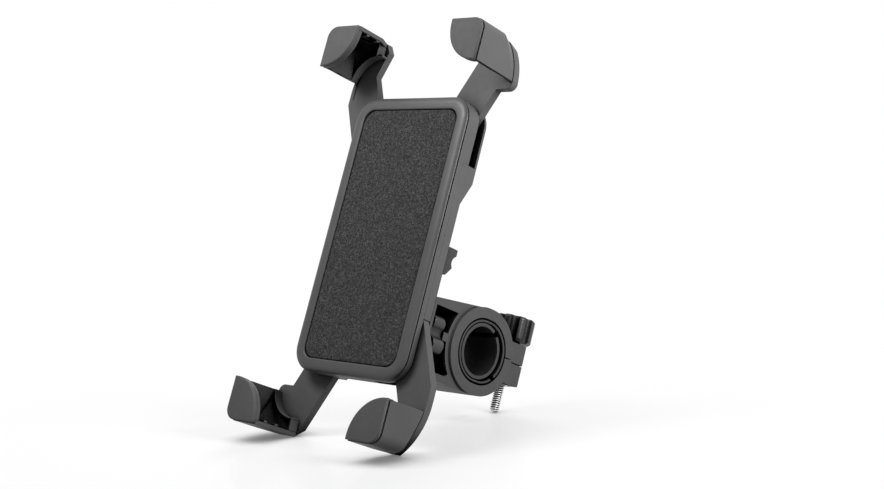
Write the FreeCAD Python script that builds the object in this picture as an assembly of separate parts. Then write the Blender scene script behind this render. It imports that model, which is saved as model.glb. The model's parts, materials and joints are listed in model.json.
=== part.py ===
import FreeCAD, Part
import math
import os

# Handlebar phone mount. Everything is drawn in the holder's own frame: X to the right, Y backward from
# the front rim, Z up along the holder, origin at the centre of the phone pad. place() then leans the
# mount back on its lower claws and screw end and puts the handlebar bore's centre at the origin.

V = FreeCAD.Vector

# ---- driving dimensions, mm and degrees ----
stand_lean = 21.6
plate_w = 67.2
plate_h = 125.0
plate_corner = 11.0
pad_w = 55.6
pad_h = 113.4
pad_t = 1.2
pad_corner = 6.4
rim_lip = 1.5
rim_slope = 2.6
bezel_floor = 1.1
shadow_gap = 0.5
wall = 2.0
shell_back = 4.8
skin = 1.1
raised_skin = 1.9
arm_w = 18.4
arm_t = 3.5
arm_slant = 26.3
rack_backing = 9.6
claw_x = 46.6
claw_z = 90.8
claw_reach = 18.2
claw_depth = 17.4
claw_wall = 2.0
claw_corner = 5.2
end_r = 31.0
end_drop_a = 23.4
end_drop_b = 20.4
end_cut_w = 2.8
end_cut_h = 4.4
lip_t = 1.6
lip_side_in = 0.9
lip_end_in = 1.9
grip_t = 1.2
grip_groove = 0.8
plug_r = 4.5
plug_head_r = 5.6
plug_head_t = 1.0
plug_in_x = 8.5
plug_in_z = 8.9
claw_bend = -0.7
seat_corner_r = 13.2
seat_in = 15.6
seat_down = 20.8
seat_h = 4.0
seat_t = 0.9
shoulder_drop = 3.9
shoulder_r = 3.4
pinion_teeth = 12
pinion_pitch_r = 5.0
pressure_angle = 25.0
axle_r = 1.5
spring_wire = 1.0
spring_r = 6.3
spring_turns = 3
housing_screw_r = 1.2
housing_head_r = 2.3
post_wall = 2.0
side_screw_in = 5.6
side_screw_up = 8.0
end_screw_in = 9.5
end_screw_across = 3.0
lock_travel = 4.0
lock_z = -6.2
lock_foot_w = 6.0
lock_foot_h = 8.5
toe_back = 3.4
toe_ahead = 6.1
stem_w = 4.0
stem_h = 6.0
button_w = 7.2
button_h = 11.2
button_t = 7.2
button_toe = 0.8
button_low_t = 6.2
button_slope = 3.0
thumb_r = 3.2
thumb_depth = 2.0
ball_r = 6.5
ball_back = 20.0
ball_z = -0.28 * plate_h
stem_r = 3.0
stem_flats = 7.0
liner_t = 0.7
socket_wall = 2.6
ring_t = 0.8
bar_r = 11.1
inner_sleeve_t = 1.9
outer_sleeve_t = 1.7
sleeve_rebate = 0.7
rebate_depth = 2.2
ring_wall = 4.9
ring_w = 24.0
ring_back = 67.3
ring_z = ball_z + 2.1
bore_stretch = 2.2
neck_w = 21.6
neck_front = 25.3
seat_wall = 8.9
ear_w = 15.0
ear_end = 4.1
ear_top = 10.9
ear_bottom = 8.4
ear_split = 0.5
split_rise = 1.5
screw_r = 2.3
thread_pitch = 0.8
thread_depth = 0.5
screw_back = 31.8
screw_tip = 13.0
knob_r = 9.8
knob_h = 11.8
knob_lobes = 8
knob_lobe_r = 3.0
knob_valley_r = 1.9
nut_flats = 8.0
nut_height = 4.0
nut_r = 13.8
nut_t = 7.0
nut_lobes = 6
nut_lobe_r = 3.7
nut_valley_r = 2.96

# ---- clearances ----
slide_gap = 0.3
layer_gap = 0.2
turn_gap = 0.05
seat_gap = 0.2
fit_gap = 0.1
tooth_gap = 0.2
coil_gap = 0.15

# ---- places that follow from the sizes ----
slant = math.radians(arm_slant)
sin_s = math.sin(slant)
cos_s = math.cos(slant)
shell_front = rim_lip + shadow_gap
post_r = housing_screw_r + post_wall
recess_floor = pad_t + 0.3
bezel_back = recess_floor + bezel_floor
layer_a = shell_back + slide_gap
layer_b = layer_a + arm_t + layer_gap
chamber_a = layer_b - layer_gap / 2
chamber_b = layer_b + arm_t + layer_gap
spring_front = chamber_b + 0.5
spring_pitch = spring_wire + coil_gap
spring_back = spring_front + spring_pitch * spring_turns + spring_wire + coil_gap
low_back = chamber_a + skin
high_back = chamber_b + raised_skin
tooth_pitch = 2 * math.pi * pinion_pitch_r / pinion_teeth
tooth_module = tooth_pitch / math.pi
arm_v1 = pinion_pitch_r + rack_backing
arm_v0 = arm_v1 - arm_w
band_half = arm_v1 + slide_gap
raised_half = band_half + 2.2
rack_tail = -17.0
wide_from = 30.0
socket_r = ball_r + seat_gap + liner_t + seat_gap
dome_r = socket_r + socket_wall
seat_r = dome_r + seat_gap + ring_t + seat_gap
socket_open = 6.2
inner_out = bar_r + inner_sleeve_t
outer_in = inner_out + fit_gap
outer_out = outer_in + outer_sleeve_t
bore_r = outer_out + fit_gap
ring_r = bore_r + ring_wall
wall_back = neck_front + seat_wall
stud_end = wall_back + 0.8 + nut_t
split_z = ring_z + split_rise
ear_top_z = ring_z + ear_top
ear_bottom_z = ring_z - ear_bottom
screw_y = ring_back + screw_back
screw_tip_z = ear_bottom_z - screw_tip


# ---- helpers ----
def box(x0, x1, y0, y1, z0, z1):
    return Part.makeBox(x1 - x0, y1 - y0, z1 - z0, V(x0, y0, z0))


def cyl_x(y, z, r, x0, x1):
    return Part.makeCylinder(r, x1 - x0, V(x0, y, z), V(1, 0, 0))


def cyl_y(x, z, r, y0, y1):
    return Part.makeCylinder(r, y1 - y0, V(x, y0, z), V(0, 1, 0))


def cyl_z(x, y, r, z0, z1):
    return Part.makeCylinder(r, z1 - z0, V(x, y, z0), V(0, 0, 1))


def ball(y, z, r):
    return Part.makeSphere(r, V(0, y, z))


def line(p, q, y):
    return Part.makeLine(V(p[0], y, p[1]), V(q[0], y, q[1]))


def arc(p, m, q, y):
    return Part.Arc(V(p[0], y, p[1]), V(m[0], y, m[1]), V(q[0], y, q[1])).toShape()


def wire_xz(steps, y=0.0):
    """Closed wire in an XZ plane. A step is a point to go to by a line, or (middle, end) for an arc."""
    edges = []
    here = steps[0]
    for step in steps[1:] + [steps[0]]:
        if isinstance(step[0], tuple):
            edges.append(arc(here, step[0], step[1], y))
            here = step[1]
        elif math.dist(here, step) > 1e-6:
            edges.append(line(here, step, y))
            here = step
    return Part.Wire(edges)


def slab(steps, y0, y1):
    return Part.Face(wire_xz(steps, y0)).extrude(V(0, y1 - y0, 0))


def on_circle(cx, cz, r, degrees):
    a = math.radians(degrees)
    return (cx + r * math.cos(a), cz + r * math.sin(a))


def rounded_steps(w, h, r):
    x = w / 2
    z = h / 2
    steps = [(x, -z + r)]
    for cx, cz, a in ((x - r, z - r, 0), (r - x, z - r, 90), (r - x, r - z, 180), (x - r, r - z, 270)):
        steps.append(on_circle(cx, cz, r, a))
        steps.append((on_circle(cx, cz, r, a + 45), on_circle(cx, cz, r, a + 90)))
    return steps


def rounded_plate(w, h, r, y0, y1):
    return slab(rounded_steps(w, h, r), y0, y1)


def plate_steps(inset):
    return rounded_steps(plate_w - 2 * inset, plate_h - 2 * inset, plate_corner - inset)


def plate(inset, y0, y1):
    return slab(plate_steps(inset), y0, y1)


def turned(shape, degrees):
    """Turn about the holder's normal so that Z leans toward +X by the angle."""
    out = shape.copy()
    out.rotate(V(0, 0, 0), V(0, 1, 0), degrees)
    return out


def band(side, half, y0, y1):
    """Diagonal slot through the whole holder; side 1 runs to the upper right, -1 to the upper left."""
    return turned(box(-half, half, y0, y1, -plate_h, plate_h), side * arm_slant)


def to_corner(shape, sx, sz):
    """Carry a shape drawn for the upper right corner to another corner of the holder."""
    if sx == sz:
        return shape if sx > 0 else turned(shape, 180)
    return shape.mirror(V(0, 0, 0), V(1, 0, 0) if sx < 0 else V(0, 0, 1))


def place(shape):
    out = shape.copy()
    out.translate(V(0, -ring_back, -ring_z))
    out.rotate(V(0, 0, 0), V(1, 0, 0), -stand_lean)
    return out


def save(name, shape):
    placed = place(shape)
    placed.exportStep("parts/" + name + ".step")


def soften(shape, size, pick):
    """Chamfer the edges that pick chooses."""
    edges = [e for e in shape.Edges if pick(e)]
    return shape.makeChamfer(size, edges) if edges else shape


def at_y(y):
    return lambda e: all(abs(v.Point.y - y) < 1e-4 for v in e.Vertexes)


# ---- holder shells ----
def phone_pad():
    return rounded_plate(pad_w, pad_h, pad_corner, recess_floor - pad_t, recess_floor)


def front_bezel():
    levels = [(rim_slope, 0), (0.6, 0.5 * rim_lip), (0, rim_lip - 0.2)]
    rim = Part.makeLoft([wire_xz(plate_steps(inset), y) for inset, y in levels], True, True)
    rim = rim.fuse(plate(0, rim_lip - 0.2, rim_lip))
    body = plate(wall + 2 * fit_gap, rim_lip, bezel_back)
    play = 2 * fit_gap
    recess = rounded_plate(pad_w + 2 * play, pad_h + 2 * play, pad_corner + play, -1, recess_floor)
    return rim.fuse(body).cut(recess)


def corner_ledge(sx):
    """Thicker corner of the front shell that carries a rear-layer arm."""
    ledge = plate(0, shell_back, layer_b - slide_gap)
    ledge = ledge.common(band(1, band_half - fit_gap, shell_back, layer_b))
    ledge = ledge.cut(band(-1, band_half + 0.5, 0, layer_b + 1))
    reach = turned(box(-plate_w, plate_w, 0, layer_b + 1, 42.0, plate_h), arm_slant)
    return to_corner(ledge.common(reach), sx, sx)


def screw_places():
    x = plate_w / 2 - side_screw_in
    z = plate_h / 2 - end_screw_in
    return [(-end_screw_across, z), (end_screw_across, -z), (x, side_screw_up), (-x, -side_screw_up)]


def front_shell():
    shell = plate(0, shell_front, shell_back)
    shell = shell.cut(plate(wall, shell_front - 1, bezel_back + fit_gap))
    for sx in (1, -1):
        shell = shell.fuse(corner_ledge(sx))
    for x, z in screw_places():
        shell = shell.fuse(cyl_y(x, z, post_r, shell_back, shell_back + 1.6))
        shell = shell.cut(cyl_y(x, z, housing_screw_r + turn_gap, bezel_back + 0.6, shell_back + 2))
    return shell.cut(cyl_y(0, 0, axle_r, bezel_back + 0.6, shell_back + 1))


def raised_band():
    half = raised_half
    foot = half + high_back - low_back
    pts = [V(-foot, low_back, 0), V(-half, high_back, 0), V(half, high_back, 0), V(foot, low_back, 0)]
    pts += [V(foot, chamber_a, 0), V(-foot, chamber_a, 0), pts[0]]
    prism = Part.Face(Part.makePolygon(pts)).extrude(V(0, 0, 2 * plate_h))
    prism.translate(V(0, 0, -plate_h))
    return turned(prism, arm_slant).common(plate(0, chamber_a, high_back))


def socket_boss():
    rise = high_back - low_back
    foot = Part.makeCone(19.0 + rise, 19.0, rise, V(0, low_back, ball_z), V(0, 1, 0))
    foot = foot.fuse(cyl_y(0, ball_z, 19.0 + rise, chamber_a, low_back))
    neck = cyl_y(0, ball_z, dome_r, high_back, ball_back)
    dome = ball(ball_back, ball_z, dome_r).common(box(-30, 30, high_back, 60, -90, 30))
    return foot.fuse(neck).fuse(dome)


def spring_box():
    return cyl_y(0, 0, spring_r + spring_wire / 2 + 1.4 + 1.5, chamber_a, spring_back + 1.4)


def lock_slot():
    x, z = lock_centre()
    half = stem_w / 2 + layer_gap
    low = z - stem_h / 2 - lock_travel - layer_gap
    return box(x - half, x + half, 0, 20, low, z + stem_h / 2 + layer_gap)


def rear_housing():
    shell = soften(plate(0, shell_back, low_back), 0.8, at_y(low_back))
    shell = shell.fuse(soften(raised_band(), 0.8, at_y(high_back)))
    shell = shell.fuse(socket_boss()).fuse(spring_box())
    for x, z in screw_places():
        shell = shell.fuse(cyl_y(x, z, post_r + 1.0, chamber_a, low_back))
    hollow = plate(wall, shell_back - 1, chamber_a)
    hollow = hollow.fuse(band(-1, band_half, shell_back - 1, chamber_a))
    hollow = hollow.fuse(band(1, band_half, shell_back - 1, chamber_b))
    shell = shell.cut(hollow)
    for x, z in screw_places():
        shell = shell.fuse(cyl_y(x, z, post_r, shell_back + 1.7, chamber_a))
        shell = shell.cut(cyl_y(x, z, housing_screw_r + 0.15, shell_back, 30))
        shell = shell.cut(cyl_y(x, z, housing_head_r + slide_gap, chamber_a - 0.3, 30))
    shell = shell.cut(cyl_y(0, ball_z, socket_r + 1.1, chamber_a - 1, chamber_b + 0.8))
    shell = shell.cut(cyl_y(0, ball_z, socket_r, chamber_b, ball_back))
    shell = shell.cut(ball(ball_back, ball_z, socket_r))
    shell = shell.cut(cyl_y(0, ball_z, socket_open, ball_back, ball_back + 2 * dome_r))
    shell = shell.cut(cyl_y(0, 0, spring_r + spring_wire / 2 + 1.4, chamber_a - 1, spring_back))
    shell = shell.cut(cyl_y(0, 0, axle_r, chamber_a, spring_back + 0.8))
    return shell.cut(lock_slot())


def ball_retainer():
    return cyl_y(0, ball_z, socket_r + 1.1, chamber_b + 0.1, chamber_b + 0.8)


def housing_screws():
    screws = []
    for x, z in screw_places():
        shank = cyl_y(x, z, housing_screw_r, bezel_back + 0.8, chamber_a)
        head = cyl_y(x, z, housing_head_r, chamber_a - 0.3, chamber_a + 1.1)
        arm_long = 0.6 * housing_head_r
        arm_half = 0.13 * housing_head_r
        y0 = chamber_a + 0.5
        cross = box(x - arm_long, x + arm_long, y0, y0 + 2, z - arm_half, z + arm_half)
        cross = cross.fuse(box(x - arm_half, x + arm_half, y0, y0 + 2, z - arm_long, z + arm_long))
        screws.append(shank.fuse(head).cut(cross))
    return Part.makeCompound(screws)


# ---- arms, racks and pinion ----
def arm_point(layer, s, v):
    """Corner-frame place of a point s along an arm and v toward its rack side."""
    side = 1 if layer == "a" else -1
    return (s * sin_s + side * v * cos_s, s * cos_s - side * v * sin_s)


def end_curve(layer, start_z, inset=0.0):
    """Outer curve of an arm's end, from the side at start_z to the end, as a point and an arc step."""
    drop = end_drop_a if layer == "a" else end_drop_b
    r = end_r - inset
    cx = claw_x - end_r
    cz = claw_z - drop
    a0 = math.degrees(math.asin(max(start_z - cz, 0.0) / r))
    a1 = math.degrees(math.asin((drop - inset) / r))
    return [on_circle(cx, cz, r, a0), (on_circle(cx, cz, r, (a0 + a1) / 2), on_circle(cx, cz, r, a1))]


def s_where(layer, v, x=None, z=None):
    """Distance along the arm where its line at v reaches a given x or z."""
    side = 1 if layer == "a" else -1
    if x is not None:
        return (x - side * v * cos_s) / sin_s
    return (z + side * v * sin_s) / cos_s


def arm_outline(layer):
    top_x = claw_x - claw_reach
    if layer == "a":
        kink = arm_point("a", s_where("a", arm_v1, x=claw_x), arm_v1)
        flare = arm_point("a", s_where("a", arm_v0, z=claw_z - claw_reach + 2.3), arm_v0)
        steps = [arm_point("a", rack_tail, arm_v1), kink] + end_curve("a", claw_z - end_drop_a)
        steps += [(top_x + end_cut_w, claw_z), (top_x + fit_gap, claw_z - end_cut_h)]
        steps += [flare, arm_point("a", wide_from, arm_v0)]
    else:
        low = claw_z - claw_reach - shoulder_drop
        mid = on_circle(claw_x - shoulder_r, low + shoulder_r, shoulder_r, -45)
        steps = [arm_point("b", s_where("b", arm_v0, z=low), arm_v0), (claw_x - shoulder_r, low)]
        steps += [(mid, (claw_x, low + shoulder_r))] + end_curve("b", low + shoulder_r)
        steps += [arm_point("b", s_where("b", arm_v1, z=claw_z), arm_v1), arm_point("b", rack_tail, arm_v1)]
    return steps


def rack_teeth(layer, y0, y1):
    """Rack bar from tail to the wide part of the arm, with its teeth toward the pinion."""
    add = tooth_module
    ded = tooth_module + 0.2
    slope = math.tan(math.radians(pressure_angle))
    half = tooth_pitch / 4 - tooth_gap / 2
    root_v = pinion_pitch_r + ded
    tip_v = pinion_pitch_r - add
    root_half = half + ded * slope
    tip_half = half - add * slope
    pts = [arm_point(layer, rack_tail, arm_v1), arm_point(layer, rack_tail, root_v)]
    first = math.ceil((rack_tail + root_half) / tooth_pitch)
    last = math.floor((wide_from - root_half) / tooth_pitch)
    for k in range(first, last + 1):
        for ds, v in ((-root_half, root_v), (-tip_half, tip_v), (tip_half, tip_v), (root_half, root_v)):
            pts.append(arm_point(layer, k * tooth_pitch + ds, v))
    pts += [arm_point(layer, wide_from + 1, root_v), arm_point(layer, wide_from + 1, arm_v1)]
    return slab(pts, y0, y1)


def lock_profile(play):
    """Sawtooth of the lock over one pitch, as (s, v) offsets; play shrinks it into a matching tooth."""
    depth = 0.9
    run = depth / math.tan(slant)
    if play:
        rise = depth - 0.2
        flank = [(0.3, 0.4), (0.3 + 0.4 * run / depth, 0.0), (run + 0.05, -rise)]
        return flank + [(run + 0.15, -rise), (run + 0.3, 0.4)]
    return [(0.0, 0.3), (0.0, 0.0), (run, -depth), (run + 0.15, -depth), (run + 0.4, 0.0), (run + 0.4, 0.3)]


def lock_notches(y0, y1):
    cuts = []
    for k in range(2, 17):
        pts = [arm_point("a", k * tooth_pitch + s, arm_v1 + v) for s, v in lock_profile(False)]
        cuts.append(slab(pts, y0, y1))
    return cuts


def arm(layer):
    y0 = layer_a if layer == "a" else layer_b
    y1 = y0 + arm_t
    outline = arm_outline(layer)
    if layer == "a":
        inner_edge = [arm_point("a", wide_from, arm_v1 - 1), arm_point("a", rack_tail, arm_v1 - 1)]
        blank = slab(outline + inner_edge, y0, y1)
    else:
        inner_edge = [arm_point("b", rack_tail, arm_v1 - 1), arm_point("b", wide_from, arm_v1 - 1)]
        blank = slab([arm_point("b", wide_from, arm_v0)] + outline + inner_edge, y0, y1)
    shape = blank.fuse(rack_teeth(layer, y0, y1))
    if layer == "a":
        return shape.cut(Part.makeCompound(lock_notches(y0 - 1, y1 + 1)))
    return shape.cut(toe_relief())


def toe_relief():
    """Bevel on a rear-layer arm's end, so that both lower claws reach the same floor."""
    y0 = layer_a + arm_t
    deep = layer_b + arm_t + 1 - y0
    pts = [V(0, y0, claw_z), V(0, y0 + deep, claw_z - deep), V(0, y0 + deep, claw_z + 1)]
    pts += [V(0, y0, claw_z + 1), pts[0]]
    return Part.Face(Part.makePolygon(pts)).extrude(V(plate_w, 0, 0))


def claw_low():
    return claw_z - claw_reach - 0.6


def claw_steps(corner, inset=0.0, past=0.0):
    """Corner profile of a claw; past runs it on beyond its two open sides."""
    left = claw_x - claw_reach - past
    low = claw_low() - past
    cx = claw_x - corner
    cz = claw_z - corner
    r = corner - inset
    steps = [(left, low), (cx + r, low), (cx + r, cz), (on_circle(cx, cz, r, 45), (cx, cz + r))]
    return steps + [(left, claw_z - inset)]


def claw_open_x(layer):
    """Open end of a claw where it meets its arm, level with the arm's cut corner in the front layer."""
    return claw_x - claw_reach + (end_cut_w if layer == "a" else 0.0)


def claw_rear_steps(layer, inset=0.0, past=0.0):
    """Profile of a claw where it meets its arm: the arm's own end curve."""
    left = claw_x - claw_reach - past
    low = claw_low() - past
    start = end_curve(layer, claw_low() + 0.5, inset)
    return [(left, low), (start[0][0], low)] + start + [(claw_open_x(layer) - past, claw_z - inset)]


def lip_steps(inset):
    """Lip of a claw: straight outside, one round edge toward the middle of the phone."""
    r = claw_reach - lip_side_in - inset
    cx = claw_x - lip_side_in
    cz = claw_z - lip_end_in
    side = claw_x - inset
    end = claw_z - 0.3 - inset
    c = claw_corner - inset
    steps = [(side, cz - r), (side, end - c), (on_circle(side - c, end - c, c, 45), (side - c, end))]
    steps += [(cx - r, end), (cx - r, cz), (on_circle(cx, cz, r, 225), (cx, cz - r))]
    return steps


def loft(first, y0, second, y1):
    return Part.makeLoft([wire_xz(first, y0), wire_xz(second, y1)], True, True)


def corner_seat(layer, arm_front):
    """Curved wall behind the phone's corner, with a short wall that closes its pocket at the open end."""
    cx = claw_x - seat_in
    cz = claw_z - seat_down
    y0 = arm_front - seat_h
    left = claw_x - claw_reach
    low = claw_low()
    ring = cyl_y(cx, cz, seat_corner_r + seat_t, y0, arm_front)
    ring = ring.cut(cyl_y(cx, cz, seat_corner_r, y0 - 1, arm_front + 1))
    ring = ring.common(box(left, claw_x - 0.5, y0, arm_front, low, claw_z - 0.5))
    end = claw_open_x(layer)
    return ring.fuse(box(end, end + seat_t, y0 - 0.6, arm_front, cz + seat_corner_r, claw_z - 1))


def claw(layer):
    arm_front = layer_a if layer == "a" else layer_b
    lip_front = -claw_depth + grip_t + grip_groove
    lip_back = lip_front + lip_t
    outside = slab(claw_steps(claw_corner), lip_front, claw_bend)
    outside = outside.fuse(loft(claw_steps(claw_corner), claw_bend, claw_rear_steps(layer), arm_front))
    inside = slab(claw_steps(claw_corner, claw_wall, 5), lip_front - 1, claw_bend)
    inside = inside.fuse(loft(claw_steps(claw_corner, claw_wall, 5), claw_bend,
                              claw_rear_steps(layer, claw_wall, 5), arm_front))
    shell = outside.cut(inside).fuse(slab(lip_steps(0.1), lip_front, lip_back))
    shell = shell.fuse(corner_seat(layer, arm_front))
    for k in (0, 1):
        y = lip_back + 3.0 + 6.6 * k
        left = claw_x - claw_reach
        shell = shell.fuse(box(left, left + 3, y, y + 1.6, claw_z - claw_wall - 1.1, claw_z - 1))
    shell = shell.cut(plug_place(plug_r, lip_front - 1, lip_back + 1))
    return shell.cut(toe_relief())


def plug_place(r, y0, y1):
    return cyl_y(claw_x - plug_in_x, claw_z - plug_in_z, r, y0, y1)


def claw_grip():
    """Rubber face of a lip, held by a button through the lip."""
    tip = -claw_depth
    lip_front = tip + grip_t + grip_groove
    cap = slab(lip_steps(0.3), tip, tip + 0.3).fuse(slab(lip_steps(0), tip + 0.3, tip + grip_t))
    neck = slab(lip_steps(grip_groove), tip + grip_t, lip_front)
    plug = plug_place(plug_r, lip_front - 0.1, lip_front + lip_t)
    head = plug_place(plug_head_r, lip_front + lip_t, lip_front + lip_t + plug_head_t)
    return cap.fuse(neck).fuse(plug).fuse(head)


def involute(base_r, radius):
    """Polar angle of the involute at a radius."""
    roll = math.sqrt(max(radius * radius / base_r / base_r - 1, 0.0))
    return roll - math.atan(roll)


def gear(rotation, y0, y1):
    """Spur gear about the holder's normal with a tooth space centred on the rotation angle."""
    base_r = pinion_pitch_r * math.cos(math.radians(pressure_angle))
    tip_r = pinion_pitch_r + tooth_module - 0.05
    root_r = pinion_pitch_r - tooth_module - 0.2
    half = math.pi / 2 / pinion_teeth - tooth_gap / 4 / pinion_pitch_r
    at_pitch = involute(base_r, pinion_pitch_r)
    radii = [root_r] + [base_r + (tip_r - base_r) * i / 4 for i in range(5)]
    steps = []
    for k in range(pinion_teeth):
        middle = rotation + (k + 0.5) * 2 * math.pi / pinion_teeth
        flank = [(r, half + at_pitch - involute(base_r, max(r, base_r))) for r in radii]
        for r, a in flank:
            steps.append((r * math.cos(middle - a), r * math.sin(middle - a)))
        for r, a in reversed(flank):
            steps.append((r * math.cos(middle + a), r * math.sin(middle + a)))
    return slab(steps, y0, y1)


def drive_pinion():
    spin_a = math.atan2(-sin_s, -cos_s)
    spin_b = math.atan2(sin_s, -cos_s)
    core_r = pinion_pitch_r - tooth_module - 0.2
    body = gear(spin_a, layer_a, layer_a + arm_t)
    body = body.fuse(cyl_y(0, 0, core_r, layer_a + arm_t - 0.5, layer_b + 0.5))
    body = body.fuse(gear(spin_b, layer_b, layer_b + arm_t))
    body = body.fuse(cyl_y(0, 0, core_r - 0.4, layer_b + arm_t - 0.5, spring_back - 0.4))
    body = body.cut(cyl_y(0, 0, axle_r + turn_gap, 0, 30))
    return body.cut(cyl_x(spring_front + spring_wire / 2, 0, spring_wire / 2 + 0.1, 0, 6))


def pinion_axle():
    return cyl_y(0, 0, axle_r, bezel_back + 0.7, spring_back + 0.7)


def return_spring():
    """Coil round the pinion's hub, with one leg in the hub and one against the pocket wall."""
    y0 = spring_front + spring_wire / 2
    helix = Part.makeHelix(spring_pitch, spring_pitch * spring_turns, spring_r)
    helix.rotate(V(0, 0, 0), V(1, 0, 0), -90)
    helix.translate(V(0, y0, 0))
    start = helix.Edges[0].firstVertex().Point
    section = Part.Wire(Part.makeCircle(spring_wire / 2, start, V(0, 0, 1)))
    coil = Part.Wire(helix.Edges).makePipeShell([section], True, True)
    x1 = spring_r
    inner = cyl_x(y0, 0, spring_wire / 2, axle_r + 0.6, x1)
    y2 = y0 + spring_pitch * spring_turns
    outer = cyl_x(y2, 0, spring_wire / 2, x1, spring_r + spring_wire / 2 + 1.3)
    return coil.fuse(inner).fuse(outer)


# ---- slide lock ----
def lock_centre():
    """Middle of the button at rest, with its upper corner beside the foot of the raised band."""
    beside = raised_half + high_back - low_back + fit_gap
    corner_x = (beside + (lock_z + button_h / 2) * sin_s) / cos_s
    return (corner_x + button_w / 2, lock_z)


def lock_slider():
    """Button outside, stem through the slot and a toothed foot beside the lower right arm."""
    x, z = lock_centre()
    down = z - lock_travel
    y0 = layer_a + fit_gap
    y1 = chamber_a - slide_gap
    half_w = lock_foot_w / 2
    half_h = lock_foot_h / 2
    foot = box(x - half_w, x + half_w, y0, y1, down - half_h, down + half_h)
    near = arm_v1 + 1.5 * fit_gap
    along = x * sin_s - down * cos_s
    first = along - toe_back
    last = along + toe_ahead
    out = x * cos_s + down * sin_s
    toe_corners = ((first, near), (last, near), (last, out), (first, out))
    toe = slab([arm_point("a", s, v) for s, v in toe_corners], y0, y1)
    arm_side = [(-plate_h, near), (plate_h, near), (plate_h, 0), (-plate_h, 0)]
    arm_side = slab([arm_point("a", s, v) for s, v in arm_side], y0, y1)
    foot = foot.fuse(to_corner(toe, 1, -1)).cut(to_corner(arm_side, 1, -1))
    foot = foot.common(plate(wall + slide_gap, y0, y1))
    teeth = []
    first_tooth = math.ceil(first / tooth_pitch)
    for k in (first_tooth, first_tooth + 1, first_tooth + 2):
        pts = [arm_point("a", k * tooth_pitch + s, arm_v1 + v) for s, v in lock_profile(True)]
        teeth.append(to_corner(slab(pts, y0, y1), 1, -1))
    foot = foot.fuse(teeth)
    foot.translate(V(0, 0, lock_travel))
    stem = box(x - stem_w / 2, x + stem_w / 2, y0, low_back + 0.8, z - stem_h / 2, z + stem_h / 2)
    return foot.fuse(stem).fuse(lock_button(x, low_back + 0.2, z))


def lock_button(x, y0, z):
    """Thumb button: a high end above, a round valley and a lower end that slopes off."""
    half = button_h / 2
    left = x - button_w / 2
    top = y0 + button_t
    low = y0 + button_low_t
    toe = z - half - button_toe
    pts = [V(left, y0, z + half), V(left, top, z + half), V(left, top, z), V(left, low, z)]
    pts += [V(left, low, z + button_slope - half), V(left, low - button_slope, toe), V(left, y0, toe)]
    body = Part.Face(Part.makePolygon(pts + [pts[0]])).extrude(V(button_w, 0, 0))
    thumb_y = top - thumb_depth + thumb_r
    body = body.cut(cyl_x(thumb_y, z - 0.1 * thumb_r, thumb_r, left - 1, left + button_w + 1))
    return soften(body, 0.3, lambda e: e.BoundBox.ZMin > z + half - 0.01 and e.BoundBox.YMax > top - 0.01)


# ---- ball joint ----
def socket_liner():
    cup = ball(ball_back, ball_z, socket_r - seat_gap).cut(ball(ball_back, ball_z, ball_r + seat_gap))
    cup = cup.cut(cyl_y(0, ball_z, socket_open - 0.2, ball_back, ball_back + 2 * ball_r))
    return cup.common(box(-20, 20, ball_back - 1.2, ball_back + 20, ball_z - 20, ball_z + 20))


def friction_ring():
    shell = ball(ball_back, ball_z, dome_r + seat_gap + ring_t)
    shell = shell.cut(ball(ball_back, ball_z, dome_r + seat_gap))
    shell = shell.cut(cyl_y(0, ball_z, socket_open + 1.0, ball_back, ball_back + 20))
    return shell.common(box(-20, 20, neck_front + 0.3, ball_back + 20, ball_z - 20, ball_z + 20))


def hexagon(x, y, z, flats, axis, length):
    """Hexagonal prism along an axis, with two corners toward plus and minus X."""
    r = flats / 2 / math.cos(math.pi / 6)
    pts = []
    for k in range(7):
        a = math.pi / 3 * k
        if axis == "y":
            pts.append(V(x + r * math.cos(a), y, z + r * math.sin(a)))
        else:
            pts.append(V(x + r * math.cos(a), y + r * math.sin(a), z))
    run = V(0, length, 0) if axis == "y" else V(0, 0, length)
    return Part.Face(Part.makePolygon(pts)).extrude(run)


def ball_stud():
    head = ball(ball_back, ball_z, ball_r)
    neck = cyl_y(0, ball_z, stem_r, ball_back, stud_end)
    key_from = ball_back + seat_r - 0.4
    key = hexagon(0, key_from, ball_z, stem_flats, "y", wall_back - key_from - 0.2)
    return soften(head.fuse(neck).fuse(key), 0.4, at_y(stud_end))


def lobed(x, y, z, axis, r_out, lobes, lobe_r, valley_r, height, turn):
    """Lobed wheel: a core with round lobes and round valleys between them."""
    mid_r = r_out - lobe_r
    make = cyl_y if axis == "y" else cyl_z
    base = y if axis == "y" else z
    across = z if axis == "y" else y
    body = make(x, across, mid_r + 0.2 * lobe_r, base, base + height)
    for k in range(lobes):
        a = math.radians(turn) + 2 * math.pi * k / lobes
        lobe = make(x + mid_r * math.cos(a), across + mid_r * math.sin(a), lobe_r, base, base + height)
        body = body.fuse(lobe)
    for k in range(lobes):
        a = math.radians(turn) + 2 * math.pi * (k + 0.5) / lobes
        far = r_out - 0.3 * valley_r
        at = (x + far * math.cos(a), across + far * math.sin(a))
        body = body.cut(make(*at, valley_r, base - 1, base + height + 1))
    return body


def barrel(x, y, z, along, r, height, bevel0, bevel1):
    """Round blank with a bevel at each end."""
    base = V(x, y, z)
    body = Part.makeCone(r - bevel0, r, bevel0, base, along)
    body = body.fuse(Part.makeCylinder(r, height - bevel0 - bevel1, base + along * bevel0, along))
    return body.fuse(Part.makeCone(r, r - bevel1, bevel1, base + along * (height - bevel1), along))


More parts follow.
